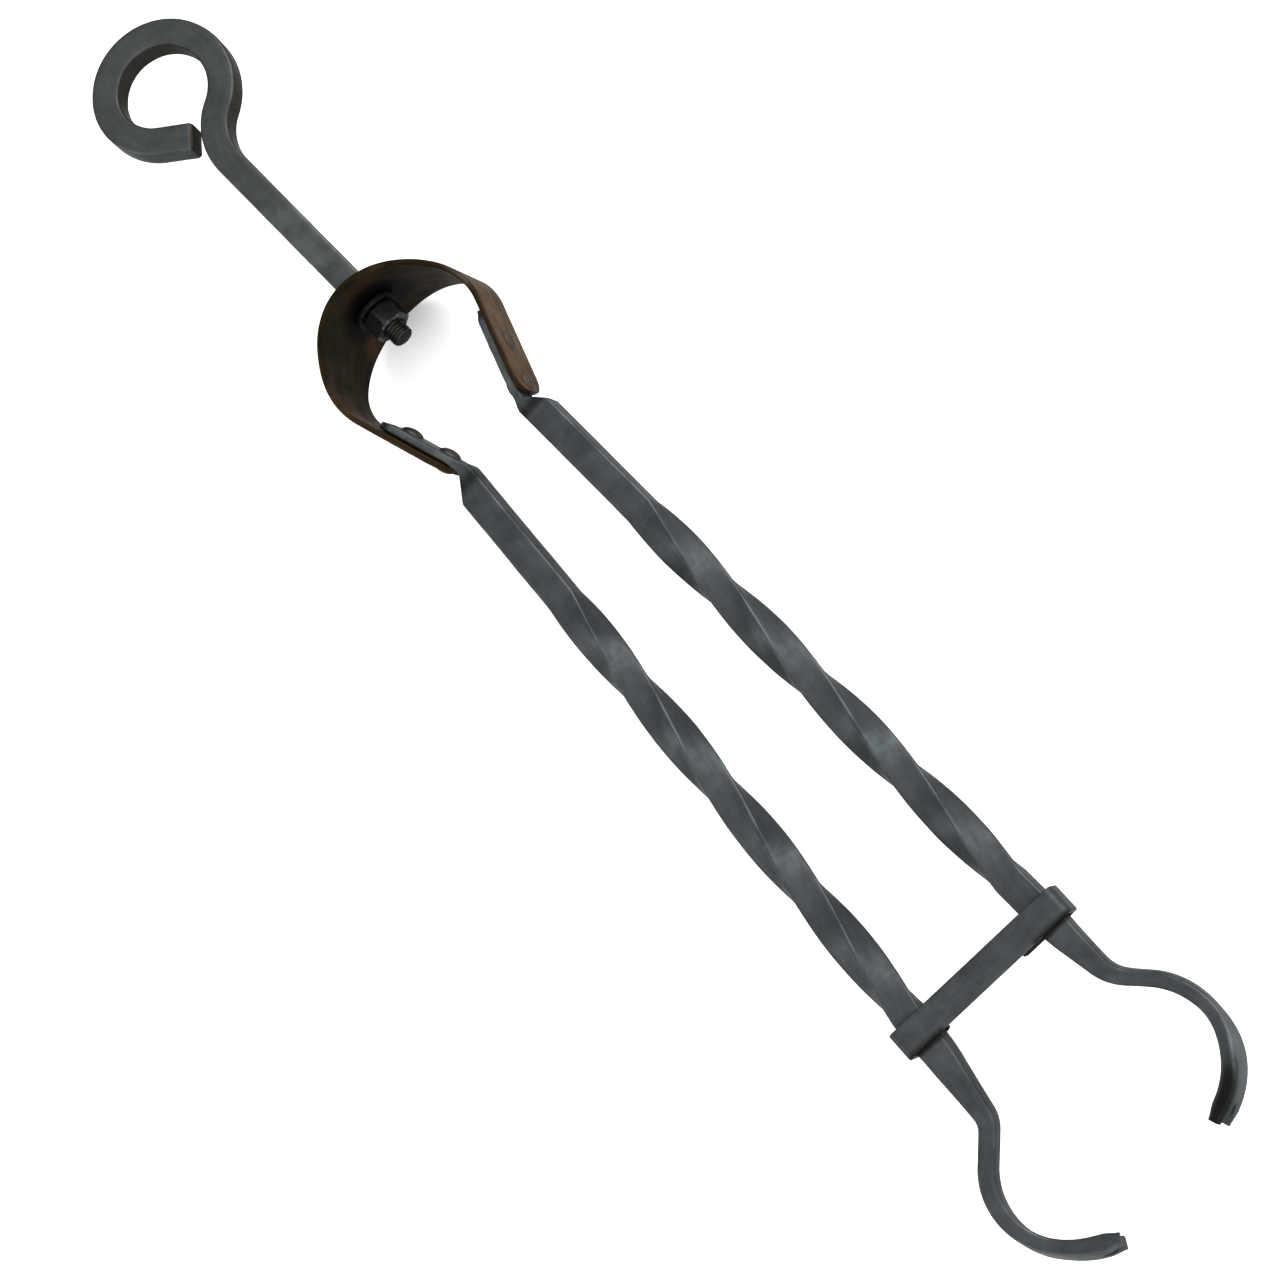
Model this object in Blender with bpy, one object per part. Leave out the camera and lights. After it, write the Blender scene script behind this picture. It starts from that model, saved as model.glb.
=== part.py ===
"""Fireplace tongs: an eye handle, a spring-steel bow and two twisted arms with C-shaped claws.

The tongs lie flat. +X runs from the handle to the claws, +Z is up and the left arm is on +Y.
Shapes are drawn in the tongs' own axis frame, whose origin is the middle of the bow's crown.
An empty lifts that frame so that the bow's lowest rim is at Z = 0.
"""

from math import asin, cos, degrees, pi, radians, sin, sqrt, tan

import bmesh
import bpy
from mathutils import Matrix, Vector

# Frame: the crown's place in the world, so that the world origin is the bottom centre of the tongs.
CROWN_X = -0.13255
CROWN_Y = 0.00137
GAP = 0.0003

# Bars.
ARM_BAR = 0.0106
HANDLE_BAR = 0.0103
BAR_CORNER = 0.0008

# Bow: a leaf-shaped strip, widest at the crown, with straight legs that lean inward.
STRIP = 0.002
CROWN_WIDTH = 0.0544
LEG_WIDTH = 0.024
CROWN_RADIUS = 0.034
CROWN_ANGLE = 55.0
SHOULDER_RADIUS = 0.0205
LEG_ANGLE = 18.0
LEG_LENGTH = 0.0346
LEAF_HALF_LENGTH = 0.055
LEG_CORNER = 0.007

# Handle: everything on it lies on one line through the centre of the crown's arc.
HANDLE_LEAN = 2.2
HANDLE_ROLL = -9.4
EYE_X = -0.1110
EYE_Y = 0.0009
EYE_RADIUS = 0.0216
NECK_RADIUS = 0.0215
EYE_TAIL_START = 229.0
TAIL_RADIUS = 0.0187
TAIL_HEADING = 50.4
TAIL_LENGTH = 0.0133

# Stud, washer and nut (M8).
STUD_RADIUS = 0.004
STUD_END_X = 0.0190
STUD_CHAMFER = 0.0008
STUD_HOLE_RADIUS = STUD_RADIUS + GAP
WASHER_RADIUS = 0.0085
WASHER_THICKNESS = 0.0018
NUT_FLATS = 0.013
NUT_THICKNESS = 0.0078

# Arms: each one is a straight line that opens a little toward the claws.
ARM_Y_AT_CROWN = 0.0150
ARM_ANGLE = 2.26
SHOULDER_X = 0.0690
SHOULDER_LENGTH = {"left": 0.0042, "right": 0.0088}
SHOULDER_WIDTH = {"left": 0.0072, "right": 0.0048}
TWIST_START_X = {"left": 0.1232, "right": 0.1258}
TWIST_END_X = {"left": 0.2948, "right": 0.3036}
TWIST_TURNS = 1.0
BEND_START_X = 0.317
TAPER_START_X = {"left": 0.309, "right": 0.314}
TAPER_LENGTH = 0.034

# Tongue: the flattened start of an arm, riveted inside a leg of the bow.
TONGUE_START = {"left": 0.0028, "right": 0.0055}
TONGUE_END = 0.0366
TONGUE_THICKNESS = 0.0032
TONGUE_WIDTH = 0.016

# Claws: an S-bend, a crest, a long arc and a straight tip that is split by a notch. The two were
# bent by hand, so they differ. Lengths and radii are in metres, headings in degrees.
TAPER_HEADING = 5.8
CLAWS = {
    "left": {"start_x": 0.3319, "neck_radius": 0.0155, "neck_heading": 44.5, "straight": 0.0067,
             "crest_radius": 0.0264, "crest_heading": -8.0, "arc_radius": 0.0270, "end_heading": -66.0,
             "neck_width": 0.0053, "width": 0.0047, "tip_width": 0.0057,
             "roll": 23.0, "roll_from": 2.0, "roll_to": -41.0},
    "right": {"start_x": 0.3414, "neck_radius": 0.0094, "neck_heading": 44.9, "straight": 0.0112,
              "crest_radius": 0.0238, "crest_heading": -42.0, "arc_radius": 0.0354, "end_heading": -64.5,
              "neck_width": 0.0059, "width": 0.0053, "tip_width": 0.0062,
              "roll": 19.5, "roll_from": 39.5, "roll_to": -51.0},
}
CLAW_HEIGHT = 0.0093
CLAW_CORNER = 0.0010
CLAW_TIP_LENGTH = 0.0070
NOTCH_DEPTH = 0.0060
NOTCH_OPENING = 0.0042

# Guide bar: fixed round the right arm, while the left arm slides in its long hook.
GUIDE_X = 0.30975
GUIDE_WIDTH = 0.0103
GUIDE_THICKNESS = 0.0022
GUIDE_BEND_RADIUS = 0.0008
GUIDE_REACH = 0.0332
LEFT_HOOK_END_Y = 0.0122
RIGHT_HOOK_END_Y = -0.0210

# Rivets, placed by their distance along the straight leg.
RIVET_STATIONS = {"upper": 0.0150, "lower": 0.0308}
RIVET_RADIUS = 0.0024
RIVET_HEAD_RADIUS = 0.0042
RIVET_HEAD_HEIGHT = 0.0018
RIVET_TAIL_RADIUS = 0.0035
RIVET_TAIL_HEIGHT = 0.0011

# Where each half of the bow bends: the middle of its arc.
PIVOT_X = 0.017
PIVOT_Y = 0.024

SIDES = {"left": 1.0, "right": -1.0}


class Pen:
    """Draws a smooth plane line and notes a station (x, y, heading, distance) at each step."""

    def __init__(self, x, y, heading):
        self.x, self.y, self.heading, self.distance = x, y, radians(heading), 0.0
        self.stations = [(x, y, self.heading, 0.0)]

    def _note(self):
        self.stations.append((self.x, self.y, self.heading, self.distance))

    def line(self, length, steps=1):
        for _ in range(steps):
            self.x += cos(self.heading) * length / steps
            self.y += sin(self.heading) * length / steps
            self.distance += length / steps
            self._note()
        return self

    def arc(self, radius, end_heading, steps):
        """Turns to end_heading (degrees), to the left if that is larger, else to the right."""
        turn = radians(end_heading) - self.heading
        side = 1.0 if turn > 0 else -1.0
        centre_x = self.x - side * radius * sin(self.heading)
        centre_y = self.y + side * radius * cos(self.heading)
        for _ in range(steps):
            self.heading += turn / steps
            self.x = centre_x + side * radius * sin(self.heading)
            self.y = centre_y - side * radius * cos(self.heading)
            self.distance += radius * abs(turn) / steps
            self._note()
        return self


def smooth(start, end, value):
    """0 before start, 1 after end and an even S between them."""
    t = min(max((value - start) / (end - start), 0.0), 1.0)
    return t * t * (3.0 - 2.0 * t)


def mix(a, b, amount):
    return a + (b - a) * amount


def clear_scene():
    for old in list(bpy.data.objects):
        bpy.data.objects.remove(old, do_unlink=True)


def finish_material(name, colour, roughness, metallic):
    material = bpy.data.materials.new(name)
    material.use_nodes = True
    shader = material.node_tree.nodes["Principled BSDF"]
    shader.inputs["Base Color"].default_value = (*colour, 1.0)
    shader.inputs["Roughness"].default_value = roughness
    shader.inputs["Metallic"].default_value = metallic
    return material


def add_empty(name, parent=None, location=(0.0, 0.0, 0.0), turn=0.0):
    empty = bpy.data.objects.new(name, None)
    empty.location = location
    empty.rotation_euler = (0.0, 0.0, radians(turn))
    empty.parent = parent
    bpy.context.scene.collection.objects.link(empty)
    return empty


def add_piece(name, mesh, material, parent, matrix=Matrix.Identity(4)):
    """Adds an object whose mesh is drawn in the parent's frame moved by matrix."""
    piece = bpy.data.objects.new(name, mesh)
    mesh.materials.append(material)
    mesh.shade_smooth()
    mesh.set_sharp_from_angle(angle=radians(35.0))
    piece.parent = parent
    piece.matrix_local = matrix
    bpy.context.scene.collection.objects.link(piece)
    return piece


def add_cutter(name, mesh, parent, matrix=Matrix.Identity(4)):
    cutter = bpy.data.objects.new(name, mesh)
    cutter.parent = parent
    cutter.matrix_local = matrix
    cutter.hide_render = True
    cutter.display_type = "WIRE"
    bpy.context.scene.collection.objects.link(cutter)
    return cutter


def cut(piece, cutter):
    boolean = piece.modifiers.new("cut_" + cutter.name, "BOOLEAN")
    boolean.operation = "DIFFERENCE"
    boolean.solver = "EXACT"
    boolean.object = cutter


def mesh_from_rings(name, rings):
    """A closed solid through rings that all have the same number of points, capped at both ends."""
    work = bmesh.new()
    loops = [[work.verts.new(point) for point in ring] for ring in rings]
    count = len(rings[0])
    for first, second in zip(loops, loops[1:]):
        for i in range(count):
            j = (i + 1) % count
            work.faces.new((first[i], first[j], second[j], second[i]))
    work.faces.new(loops[0])
    work.faces.new(reversed(loops[-1]))
    bmesh.ops.recalc_face_normals(work, faces=work.faces)
    mesh = bpy.data.meshes.new(name)
    work.to_mesh(mesh)
    work.free()
    return mesh


def mesh_from_closed_rings(name, rings):
    """A ring-shaped solid: the last ring joins the first one."""
    work = bmesh.new()
    loops = [[work.verts.new(point) for point in ring] for ring in rings]
    count = len(rings[0])
    for k, first in enumerate(loops):
        second = loops[(k + 1) % len(loops)]
        for i in range(count):
            j = (i + 1) % count
            work.faces.new((first[i], first[j], second[j], second[i]))
    bmesh.ops.recalc_face_normals(work, faces=work.faces)
    mesh = bpy.data.meshes.new(name)
    work.to_mesh(mesh)
    work.free()
    return mesh


def bar_section(width, height, corner, points_per_corner):
    """A rectangle with round corners, as (across, up) points that start at the +across side."""
    points = []
    for quarter in range(4):
        sx = 1.0 if quarter in (0, 3) else -1.0
        sy = 1.0 if quarter in (0, 1) else -1.0
        for k in range(points_per_corner):
            angle = radians(90.0 * (quarter + k / (points_per_corner - 1)))
            points.append((sx * (width / 2 - corner) + corner * cos(angle),
                           sy * (height / 2 - corner) + corner * sin(angle)))
    return points


def circle_points(radius, count, start):
    return [(radius * cos(start + 2 * pi * k / count), radius * sin(start + 2 * pi * k / count))
            for k in range(count)]


def place_section(section, x, y, heading, roll=0.0):
    """Stands a flat section upright across a plane line, rolled about the line's direction."""
    across = Vector((-sin(heading), cos(heading), 0.0))
    centre = Vector((x, y, 0.0))
    ring = []
    for u, v in section:
        side = u * cos(roll) - v * sin(roll)
        up = u * sin(roll) + v * cos(roll)
        ring.append(centre + across * side + Vector((0.0, 0.0, up)))
    return ring


def turned(name, profile, count=16):
    """A solid turned about local Z from (radius, height) points, closed by flat ends."""
    rings = [[Vector((x, y, height)) for x, y in circle_points(radius, count, 0.0)]
             for radius, height in profile]
    return mesh_from_rings(name, rings)


def bow_line(crown_steps, shoulder_steps, leg_steps, leg_length=LEG_LENGTH):
    """The outer face of the bow's left half, from the crown to the end of the leg."""
    pen = Pen(0.0, 0.0, 90.0)
    pen.arc(CROWN_RADIUS, 90.0 - CROWN_ANGLE, crown_steps)
    pen.arc(SHOULDER_RADIUS, -LEG_ANGLE, shoulder_steps)
    pen.line(leg_length, leg_steps)
    return pen.stations


def strip_width(distance):
    """Full width of the strip at a distance from the crown, with rounded corners at the leg's end."""
    leaf = 0.5 + 0.5 * cos(pi * min(distance / LEAF_HALF_LENGTH, 1.0))
    width = mix(LEG_WIDTH, CROWN_WIDTH, leaf)
    into_corner = distance - (bow_length() - LEG_CORNER)
    if into_corner > 0.0:
        width -= 2.0 * (LEG_CORNER - sqrt(max(LEG_CORNER ** 2 - into_corner ** 2, 0.0)))
    return width


def bow_length():
    return (CROWN_RADIUS * radians(CROWN_ANGLE)
            + SHOULDER_RADIUS * radians(90.0 - CROWN_ANGLE + LEG_ANGLE) + LEG_LENGTH)


def leg_frame(distance, side):
    """A point on the strip's outer face on a leg, with the outward direction as local Z."""
    x, y, heading, _ = bow_line(1, 1, 1, distance)[-1]
    outward = Vector((-sin(heading), cos(heading) * side, 0.0))
    up = Vector((0.0, 0.0, 1.0))
    along = up.cross(outward)
    turn = Matrix((along, up, outward)).transposed().to_4x4()
    return Matrix.Translation((x, y * side, 0.0)) @ turn


def strip_ring(x, y, heading, width, side):
    """The strip's cross-section at one station of its outer face."""
    outward = Vector((-sin(heading), cos(heading) * side, 0.0))
    outer = Vector((x, y * side, 0.0))
    inner = outer - outward * STRIP
    up = Vector((0.0, 0.0, width / 2))
    return [outer + up, outer - up, inner - up, inner + up]


def make_bow(material, parent):
    stations = bow_line(10, 8, 4)
    last_x, last_y, heading, length = stations[-1]
    base = stations[:-1]
    for share in (0.25, 0.55, 0.8, 1.0):
        back = LEG_CORNER * (1.0 - share)
        base.append((last_x - cos(heading) * back, last_y - sin(heading) * back, heading,
                     length - back))
    half = {side: [strip_ring(x, y, h, strip_width(d), sign) for x, y, h, d in base]
            for side, sign in SIDES.items()}
    rings = list(reversed(half["right"])) + half["left"][1:]
    bow = add_piece("bow_spring", mesh_from_rings("bow_spring", rings), material, parent)

    lean = Matrix.Translation((CROWN_RADIUS, 0.0, 0.0)) @ Matrix.Rotation(radians(HANDLE_LEAN), 4, "Z")
    along_x = Matrix.Translation((-CROWN_RADIUS, 0.0, 0.0)) @ Matrix.Rotation(radians(90.0), 4, "Y")
    bore = turned("stud_bore", [(STUD_HOLE_RADIUS, -0.004), (STUD_HOLE_RADIUS, 0.006)], 24)
    cut(bow, add_cutter("stud_bore", bore, parent, lean @ along_x))
    for side, sign in SIDES.items():
        for place, distance in RIVET_STATIONS.items():
            name = f"{side}_{place}_strip_bore"
            hole = turned(name, [(RIVET_RADIUS + GAP, -0.006), (RIVET_RADIUS + GAP, 0.004)])
            cut(bow, add_cutter(name, hole, parent, leg_frame(distance, sign)))
    return bow


def handle_line():
    """The handle's centre line from the shoulder back to the neck, round the eye and to the tail."""
    leave = asin((NECK_RADIUS - EYE_Y) / (EYE_RADIUS + NECK_RADIUS))
    neck_x = EYE_X + (EYE_RADIUS + NECK_RADIUS) * cos(leave)
    pen = Pen(-GAP, 0.0, 180.0)
    pen.line(-GAP - neck_x, 2)
    pen.arc(NECK_RADIUS, 90.0 + degrees(leave), 7)
    pen.arc(EYE_RADIUS, EYE_TAIL_START + 90.0, 20)
    pen.arc(TAIL_RADIUS, 360.0 + TAIL_HEADING, 10)
    pen.line(TAIL_LENGTH, 2)
    return pen.stations


def make_handle(material, parent):
    """Square bar and stud in one solid, drawn about the centre of the crown's arc and rolled."""
    square = bar_section(HANDLE_BAR, HANDLE_BAR, BAR_CORNER, 5)
    stud_points = circle_points(STUD_RADIUS, len(square), radians(9.0))
    tip_radius = STUD_RADIUS - STUD_CHAMFER
    tip_points = circle_points(tip_radius, len(square), radians(9.0))
    stud = [place_section(tip_points, STUD_END_X, 0.0, pi),
            place_section(stud_points, STUD_END_X - STUD_CHAMFER, 0.0, pi),
            place_section(stud_points, -GAP, 0.0, pi)]
    bar = [place_section(square, x, y, heading) for x, y, heading, _ in handle_line()]
    rings = [[point - Vector((CROWN_RADIUS, 0.0, 0.0)) for point in ring] for ring in stud + bar]
    roll = Matrix.Rotation(radians(HANDLE_ROLL), 4, "X")
    return add_piece("handle", mesh_from_rings("handle", rings), material, parent, roll)


def make_washer(material, parent, start):
    radii = ((WASHER_RADIUS, 0.0), (WASHER_RADIUS, WASHER_THICKNESS),
             (STUD_HOLE_RADIUS, WASHER_THICKNESS), (STUD_HOLE_RADIUS, 0.0))
    rings = [[Vector((start + height, x, y)) for x, y in circle_points(radius, 24, 0.0)]
             for radius, height in radii]
    return add_piece("stud_washer", mesh_from_closed_rings("stud_washer", rings), material, parent)


def nut_outline(limit, count=24):
    """A hexagon whose corners are held inside a circle, as chamfering leaves them."""
    points = []
    for k in range(count):
        angle = 2 * pi * k / count
        from_flat = (angle + radians(30.0)) % radians(60.0) - radians(30.0)
        radius = min(NUT_FLATS / 2 / cos(from_flat), limit)
        points.append((radius * cos(angle), radius * sin(angle)))
    return points


def make_nut(material, parent, start):
    corner = NUT_FLATS / 2 / cos(radians(30.0))
    chamfer = corner * 0.93
    depth = 0.0008
    end = start + NUT_THICKNESS
    outer = [(nut_outline(chamfer), start), (nut_outline(corner), start + depth),
             (nut_outline(corner), end - depth), (nut_outline(chamfer), end)]
    bore = circle_points(STUD_HOLE_RADIUS, 24, 0.0)
    sections = outer + [(bore, end), (bore, start)]
    rings = [[Vector((height, x, y)) for x, y in section] for section, height in sections]
    return add_piece("stud_nut", mesh_from_closed_rings("stud_nut", rings), material, parent)


def arm_y(x):
    return ARM_Y_AT_CROWN + x * tan(radians(ARM_ANGLE))


def tongue_rings(side, sign):
    """The flattened start of an arm, which lies on the inner face of a leg of the bow."""
    rings = []
    steps = 6
    for k in range(steps + 1):
        share = k / steps
        distance = mix(TONGUE_START[side], TONGUE_END, share)
        x, y, heading, _ = bow_line(1, 1, 1, distance)[-1]
        spread = smooth(0.0, 0.12, share) * (1.0 - smooth(0.72, 1.0, share))
        width = TONGUE_THICKNESS * (0.8 + 0.2 * smooth(0.0, 0.15, share))
        height = mix(ARM_BAR + 0.002, TONGUE_WIDTH, spread)
        inward = STRIP + GAP + width / 2
        x += sin(heading) * inward
        y -= cos(heading) * inward
        section = bar_section(width, height, 0.0009, 3)
        rings.append(place_section(mirror_section(section, sign), x, y * sign, heading * sign))
    return rings


def mirror_section(section, sign):
    """The same section for either arm; the points keep their order round the bar."""
    return section if sign > 0 else [(-u, v) for u, v in section]


def shoulder_rings(side, sign):
    """The end of the square bar: it starts narrow on the inner side and widens outward."""
    heading = radians(ARM_ANGLE)
    rings = []
    for share in (0.0, 1.0):
        x = SHOULDER_X + SHOULDER_LENGTH[side] * share
        width = mix(SHOULDER_WIDTH[side], ARM_BAR, share)
        y = arm_y(x) - (ARM_BAR - width) / 2
        section = bar_section(width, ARM_BAR, BAR_CORNER, 3)
        rings.append(place_section(mirror_section(section, sign), x, y * sign, heading * sign))
    return rings


def arm_line(side):
    """The arm's centre line from the shoulder to the tip of the claw, on +Y."""
    claw = CLAWS[side]
    start_x = SHOULDER_X + SHOULDER_LENGTH[side]
    slope = cos(radians(ARM_ANGLE))
    pen = Pen(start_x, arm_y(start_x), ARM_ANGLE)
    twist_start, twist_end = TWIST_START_X[side], TWIST_END_X[side]
    pen.line((twist_start - start_x) / slope)
    pen.line((twist_end - twist_start) / slope, 40)
    pen.line((BEND_START_X - twist_end) / slope, 3)
    pen.arc(0.06, TAPER_HEADING, 2)
    pen.line((claw["start_x"] - pen.x) / cos(radians(TAPER_HEADING)), 3)
    pen.arc(claw["neck_radius"], claw["neck_heading"], 6)
    pen.line(claw["straight"], 2)
    pen.arc(claw["crest_radius"], claw["crest_heading"], 10)
    pen.arc(claw["arc_radius"], claw["end_heading"], 10)
    pen.line(CLAW_TIP_LENGTH, 2)
    return pen.stations


def claw_roll(claw, heading):
    """How far the claw leans its top edge inward, which grows toward the tip."""
    return radians(claw["roll"]) * smooth(-claw["roll_from"], -claw["roll_to"], -degrees(heading))


def arm_shape(side, x, heading):
    """Width, height, corner radius, twist and roll of the bar at a station of the arm."""
    claw = CLAWS[side]
    along_twist = (x - TWIST_START_X[side]) / (TWIST_END_X[side] - TWIST_START_X[side])
    twist = 2 * pi * TWIST_TURNS * min(max(along_twist, 0.0), 1.0)
    along_taper = min(max((x - TAPER_START_X[side]) / TAPER_LENGTH, 0.0), 1.0)
    taper = mix(along_taper, smooth(0.0, 1.0, along_taper), 0.5)
    crest = smooth(-claw["neck_heading"], -claw["crest_heading"], -degrees(heading)) if taper == 1.0 else 0.0
    tip = smooth(-claw["crest_heading"], -claw["end_heading"], -degrees(heading))
    claw_width = mix(mix(claw["neck_width"], claw["width"], crest), claw["tip_width"], tip)
    width = mix(ARM_BAR, claw_width, taper)
    height = mix(ARM_BAR, CLAW_HEIGHT, taper)
    corner = mix(BAR_CORNER, CLAW_CORNER, taper)
    roll = claw_roll(claw, heading) if taper == 1.0 else 0.0
    return width, height, corner, twist, roll


def arm_rings(side, sign):
    rings = []
    for x, y, heading, _ in arm_line(side):
        width, height, corner, twist, roll = arm_shape(side, x, heading)
        section = bar_section(width, height, corner, 3)
        turn = twist + sign * roll
        rings.append(place_section(mirror_section(section, sign), x, y * sign, heading * sign, turn))
    return rings


def notch_cutter(side, sign):
    """A wedge that splits the tip of a claw into two points."""
    x, y, heading, _ = arm_line(side)[-1]
    forward = Vector((cos(heading), sin(heading) * sign, 0.0))
    across = Vector((-sin(heading) * sign, cos(heading), 0.0))
    up = Vector((0.0, 0.0, 1.0))
    roll = sign * claw_roll(CLAWS[side], heading)
    thin = across * cos(roll) + up * sin(roll)
    broad = up * cos(roll) - across * sin(roll)
    tip = Vector((x, y * sign, 0.0))
    over = 0.001
    half = NOTCH_OPENING / 2 * (1.0 + over / NOTCH_DEPTH)
    corners = [tip - forward * NOTCH_DEPTH, tip + forward * over + broad * half,
               tip + forward * over - broad * half]
    rings = [[corner + thin * reach for corner in corners] for reach in (-ARM_BAR, ARM_BAR)]
    return mesh_from_rings(f"{side}_notch", rings)


def make_arm(side, sign, material, pivot, pivot_place):
    """Tongue, shoulder, twisted bar and claw in one solid, hung from the pivot of its bow half."""
    rings = tongue_rings(side, sign) + shoulder_rings(side, sign)[:1] + arm_rings(side, sign)
    name = f"{side}_arm"
    back = Matrix.Translation(-pivot_place)
    arm = add_piece(name, mesh_from_rings(name, rings), material, pivot, back)
    cut(arm, add_cutter(f"{side}_notch", notch_cutter(side, sign), pivot, back))
    for place, distance in RIVET_STATIONS.items():
        bore_name = f"{side}_{place}_tongue_bore"
        hole = turned(bore_name, [(RIVET_RADIUS + GAP, -0.009), (RIVET_RADIUS + GAP, 0.0)])
        cut(arm, add_cutter(bore_name, hole, pivot, back @ leg_frame(distance, sign)))
    return arm


def make_rivets(side, sign, material, pivot, pivot_place):
    """Two rivets through a leg and its tongue: a round head inside and a low one outside."""
    inside = -(STRIP + GAP + TONGUE_THICKNESS + GAP)
    outside = GAP
    profile = [(RIVET_HEAD_RADIUS * 0.45, inside - RIVET_HEAD_HEIGHT),
               (RIVET_HEAD_RADIUS * 0.85, inside - RIVET_HEAD_HEIGHT * 0.6),
               (RIVET_HEAD_RADIUS, inside), (RIVET_RADIUS, inside), (RIVET_RADIUS, outside),
               (RIVET_TAIL_RADIUS, outside),
               (RIVET_TAIL_RADIUS * 0.8, outside + RIVET_TAIL_HEIGHT * 0.7),
               (RIVET_TAIL_RADIUS * 0.4, outside + RIVET_TAIL_HEIGHT)]
    for place, distance in RIVET_STATIONS.items():
        name = f"{side}_rivet_{place}"
        matrix = Matrix.Translation(-pivot_place) @ leg_frame(distance, sign)
        add_piece(name, turned(name, profile), material, pivot, matrix)


def guide_line():
    """The outer face of the guide bar in the Y-Z plane, from one hook's end to the other's."""
    half_height = ARM_BAR / 2 + GAP + GUIDE_THICKNESS
    outer = GUIDE_REACH + GUIDE_THICKNESS
    bend = GUIDE_BEND_RADIUS + GUIDE_THICKNESS
    pen = Pen(RIGHT_HOOK_END_Y, -half_height, 180.0)
    pen.line(outer + RIGHT_HOOK_END_Y - bend)
    pen.arc(bend, 90.0, 4)
    pen.line(2 * (half_height - bend))
    pen.arc(bend, 0.0, 4)
    pen.line(2 * (outer - bend), 2)
    pen.arc(bend, -90.0, 4)
    pen.line(2 * (half_height - bend))
    pen.arc(bend, -180.0, 4)
    pen.line(outer - LEFT_HOOK_END_Y - bend)
    return pen.stations


def make_guide(material, pivot, pivot_place):
    """A flat bar across both arms whose ends are hooked round and under them."""
    rings = []
    for y, z, heading, _ in guide_line():
        inner_y = y + sin(heading) * GUIDE_THICKNESS
        inner_z = z - cos(heading) * GUIDE_THICKNESS
        front, back = GUIDE_X + GUIDE_WIDTH / 2, GUIDE_X - GUIDE_WIDTH / 2
        rings.append([Vector((front, y, z)), Vector((back, y, z)),
                      Vector((back, inner_y, inner_z)), Vector((front, inner_y, inner_z))])
    mesh = mesh_from_rings("guide_bar", rings)
    return add_piece("guide_bar", mesh, material, pivot, Matrix.Translation(-pivot_place))


def build():
    clear_scene()
    forged = finish_material("forged_steel", (0.055, 0.063, 0.066), 0.45, 0.7)
    spring = finish_material("spring_steel", (0.075, 0.058, 0.040), 0.42, 0.8)
    fastener = finish_material("black_oxide", (0.018, 0.018, 0.019), 0.5, 0.6)
    rivet = finish_material("rivet_steel", (0.050, 0.048, 0.044), 0.5, 0.7)

    frame = add_empty("tongs_axis", None, (CROWN_X, CROWN_Y, CROWN_WIDTH / 2))
    handle_axis = add_empty("handle_axis", frame, (CROWN_RADIUS, 0.0, 0.0), HANDLE_LEAN)
    make_bow(spring, frame)
    make_handle(forged, handle_axis)
    inner_radius = CROWN_RADIUS - STRIP
    washer_start = -sqrt(inner_radius ** 2 - WASHER_RADIUS ** 2) + GAP
    nut_start = washer_start + WASHER_THICKNESS + GAP
    make_washer(fastener, handle_axis, washer_start)
    make_nut(fastener, handle_axis, nut_start)

    for side, sign in SIDES.items():
        place = Vector((PIVOT_X, PIVOT_Y * sign, 0.0))
        pivot = add_empty(f"{side}_pivot", frame, place)
        make_arm(side, sign, forged, pivot, place)
        make_rivets(side, sign, rivet, pivot, place)
        if side == "right":
            make_guide(forged, pivot, place)


build()
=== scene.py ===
"""Looks for the fireplace tongs: detailed forged bars, spring bow, fasteners and their materials.

Everything is in metres in the row frame. Shapes are drawn in the tongs' own axis frame, whose
origin is the middle of the bow's crown, and are then moved to where the CAD boxes say it is.
"""

from math import asin, cos, degrees, pi, radians, sin, sqrt, tan

import bmesh
import bpy
from mathutils import Matrix, Vector, noise


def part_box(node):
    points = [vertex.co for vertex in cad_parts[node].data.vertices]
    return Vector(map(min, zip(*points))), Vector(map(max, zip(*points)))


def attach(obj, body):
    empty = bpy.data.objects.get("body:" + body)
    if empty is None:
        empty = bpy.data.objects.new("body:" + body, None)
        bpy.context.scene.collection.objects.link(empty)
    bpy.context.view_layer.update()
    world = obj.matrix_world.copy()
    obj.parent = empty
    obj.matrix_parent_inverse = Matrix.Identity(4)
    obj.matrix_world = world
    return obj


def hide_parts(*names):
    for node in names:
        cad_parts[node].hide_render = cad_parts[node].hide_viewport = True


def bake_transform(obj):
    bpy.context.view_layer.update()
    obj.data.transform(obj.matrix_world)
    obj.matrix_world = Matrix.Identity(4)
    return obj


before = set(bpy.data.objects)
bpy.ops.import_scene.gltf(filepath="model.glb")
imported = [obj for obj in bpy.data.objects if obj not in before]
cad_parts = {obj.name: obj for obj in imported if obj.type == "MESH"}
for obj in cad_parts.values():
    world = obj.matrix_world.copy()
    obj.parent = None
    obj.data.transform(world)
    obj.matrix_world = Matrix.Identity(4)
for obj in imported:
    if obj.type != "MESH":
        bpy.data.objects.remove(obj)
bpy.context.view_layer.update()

ROOT = "handle_and_bow"
SIDES = {"left": 1.0, "right": -1.0}
BOW_LOW, BOW_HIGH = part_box("bow_spring")
CROWN = Vector((BOW_LOW.x, (BOW_LOW.y + BOW_HIGH.y) / 2, (BOW_LOW.z + BOW_HIGH.z) / 2))
GAP = 0.0003

# Bars
ARM_BAR = 0.0106
HANDLE_BAR = 0.0103
BAR_CORNER = 0.0009

# Bow
STRIP = 0.002
CROWN_WIDTH = BOW_HIGH.z - BOW_LOW.z
LEG_WIDTH = 0.024
CROWN_RADIUS = 0.034
CROWN_ANGLE = 55.0
SHOULDER_RADIUS = 0.0205
LEG_ANGLE = 18.0
LEG_LENGTH = 0.0346
LEAF_HALF_LENGTH = 0.055
LEG_CORNER = 0.007

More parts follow.
